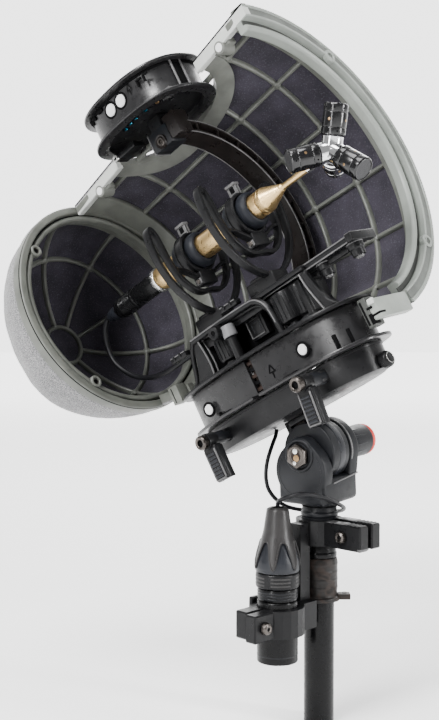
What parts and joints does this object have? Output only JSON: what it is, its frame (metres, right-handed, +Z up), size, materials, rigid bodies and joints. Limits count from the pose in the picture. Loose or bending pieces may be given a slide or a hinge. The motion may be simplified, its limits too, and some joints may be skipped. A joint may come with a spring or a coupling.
{
  "type": "condenser microphone",
  "caption": "Condenser microphone with a tetrahedral capsule head and a gold body, held by hoop mounts in an open half windshield on a hub, a tilting swivel and a pole.",
  "frame": {"origin": "centre of the pole's lower end", "axes": "+Z up along the pole; +X to the right and +Y away, as the object is seen from its open side"},
  "size_m": [0.2454, 0.2062, 0.379],
  "materials": {
    "black_plastic": "satin moulded",
    "rubber": "matt",
    "olive_plastic": "satin moulded",
    "pale_plastic": "satin moulded",
    "fabric": "brushed knit",
    "gold": "fine satin",
    "chrome": "polished",
    "steel": "worn",
    "worn_metal": "worn and rusty",
    "grey_plastic": "satin",
    "red_plastic": "satin",
    "black_metal": "semi-gloss"
  },
  "bodies": {
    "stand": {"pole_tube": "black_metal", "pole_ferrule": "worn_metal", "pole_stud": "steel"},
    "swivel": {"swivel_base": "grey_plastic", "swivel_bolt": "steel", "clip_bracket": "black_plastic", "clip_upper_jaw": "black_plastic", "clip_lower_jaw": "black_plastic", "clip_screw_upper": "steel", "clip_screw_lower": "steel", "cable_boot": "grey_plastic", "connector_core": "black_plastic", "connector_shell": "black_metal", "outer_cable": "rubber"},
    "coupling": {"coupling_ring": "grey_plastic"},
    "knob": {"tilt_knob": "grey_plastic", "knob_cap": "red_plastic"},
    "head": {"swivel_head": "grey_plastic", "base_deck": "black_plastic", "base_wall_rear": "black_plastic", "base_wall_front": "black_plastic", "seam_band": "worn_metal", "base_cap": "black_plastic", "lever_bolt_rear": "steel", "lever_bolt_front": "steel", "c_arm": "black_metal", "top_hub_wall": "black_plastic", "top_hub_lid": "black_plastic", "saddle": "black_plastic"},
    "rear_lever": {"lock_lever_rear": "black_plastic"},
    "front_lever": {"lock_lever_front": "black_plastic"},
    "hub_knob": {"end_knob": "black_plastic"},
    "windshield": {"rear_ring": "olive_plastic", "front_rim": "pale_plastic", "barrel_lattice": "olive_plastic", "barrel_skin": "fabric", "dome_lattice": "olive_plastic", "dome_skin": "fabric", "latch_block_front": "pale_plastic", "latch_block_rear": "pale_plastic"},
    "rail": {"rail": "black_plastic", "cable_anchor": "black_plastic"},
    "rail_lock": {"rail_lock_screw": "steel"},
    "rear_lyre": {"lyre_rear": "black_plastic", "clip_rear": "black_plastic", "sleeve_rear": "rubber"},
    "front_lyre": {"lyre_front": "black_plastic", "clip_front": "black_plastic", "sleeve_front": "rubber"},
    "microphone": {"mic_gland": "rubber", "mic_barrel": "black_metal", "mic_ring": "chrome", "mic_tube": "gold", "mic_cone": "gold", "capsule_mount": "chrome", "capsule_1": "black_metal", "capsule_2": "black_metal", "capsule_3": "black_metal", "capsule_4": "black_metal", "mic_cable": "rubber"}
  },
  "joints": [
    {"name": "swivel_pan", "type": "hinge", "parent": "stand", "child": "swivel", "pos_m": [0, 0, 0.096], "axis": [0, 0, 1], "range_deg": [-150, 75]},
    {"name": "head_tilt", "type": "hinge", "parent": "swivel", "child": "head", "pos_m": [0, 0, 0.145], "axis": [0.6416, 0.7646, 0.061], "range_deg": [-25, 55], "deforming": ["outer_cable"]},
    {"name": "tilt_knob_turn", "type": "hinge", "parent": "swivel", "child": "knob", "pos_m": [0, 0, 0.145], "axis": [0.6416, 0.7646, 0.061], "continuous": true},
    {"name": "coupling_turn", "type": "hinge", "parent": "swivel", "child": "coupling", "pos_m": [-0.0234, -0.0234, 0.0818], "axis": [0, 0, 1], "continuous": true},
    {"name": "rear_lever_turn", "type": "hinge", "parent": "head", "child": "rear_lever", "pos_m": [-0.05861, 0.00136, 0.14986], "axis": [0.6511, 0.7475, 0.1319], "range_deg": [0, 90]},
    {"name": "front_lever_turn", "type": "hinge", "parent": "head", "child": "front_lever", "pos_m": [-0.01181, -0.04535, 0.18355], "axis": [0.6511, 0.7475, 0.1319], "range_deg": [-84, 0]},
    {"name": "hub_knob_turn", "type": "hinge", "parent": "head", "child": "hub_knob", "pos_m": [0.02934, -0.03462, 0.19412], "axis": [0.6391, -0.6336, 0.4361], "continuous": true},
    {"name": "windshield_pull", "type": "slide", "parent": "head", "child": "windshield", "axis": [0.6511, 0.7475, 0.1319], "range_m": [0, 0.025]},
    {"name": "rail_slide", "type": "slide", "parent": "head", "child": "rail", "axis": [0.6391, -0.6336, 0.4361], "range_m": [-0.006, 0.01]},
    {"name": "rail_lock_turn", "type": "hinge", "parent": "head", "child": "rail_lock", "pos_m": [-0.05455, 0.01276, 0.20702], "axis": [0.6511, 0.7475, 0.1319], "continuous": true},
    {"name": "rear_lyre_slide", "type": "slide", "parent": "rail", "child": "rear_lyre", "axis": [0.6391, -0.6336, 0.4361], "range_m": [-0.004, 0.004]},
    {"name": "front_lyre_slide", "type": "slide", "parent": "rail", "child": "front_lyre", "axis": [0.6391, -0.6336, 0.4361], "range_m": [-0.004, 0.004]},
    {"name": "microphone_slide", "type": "slide", "parent": "rail", "child": "microphone", "axis": [0.6391, -0.6336, 0.4361], "range_m": [-0.004, 0.004], "deforming": ["mic_cable"]}
  ]
}
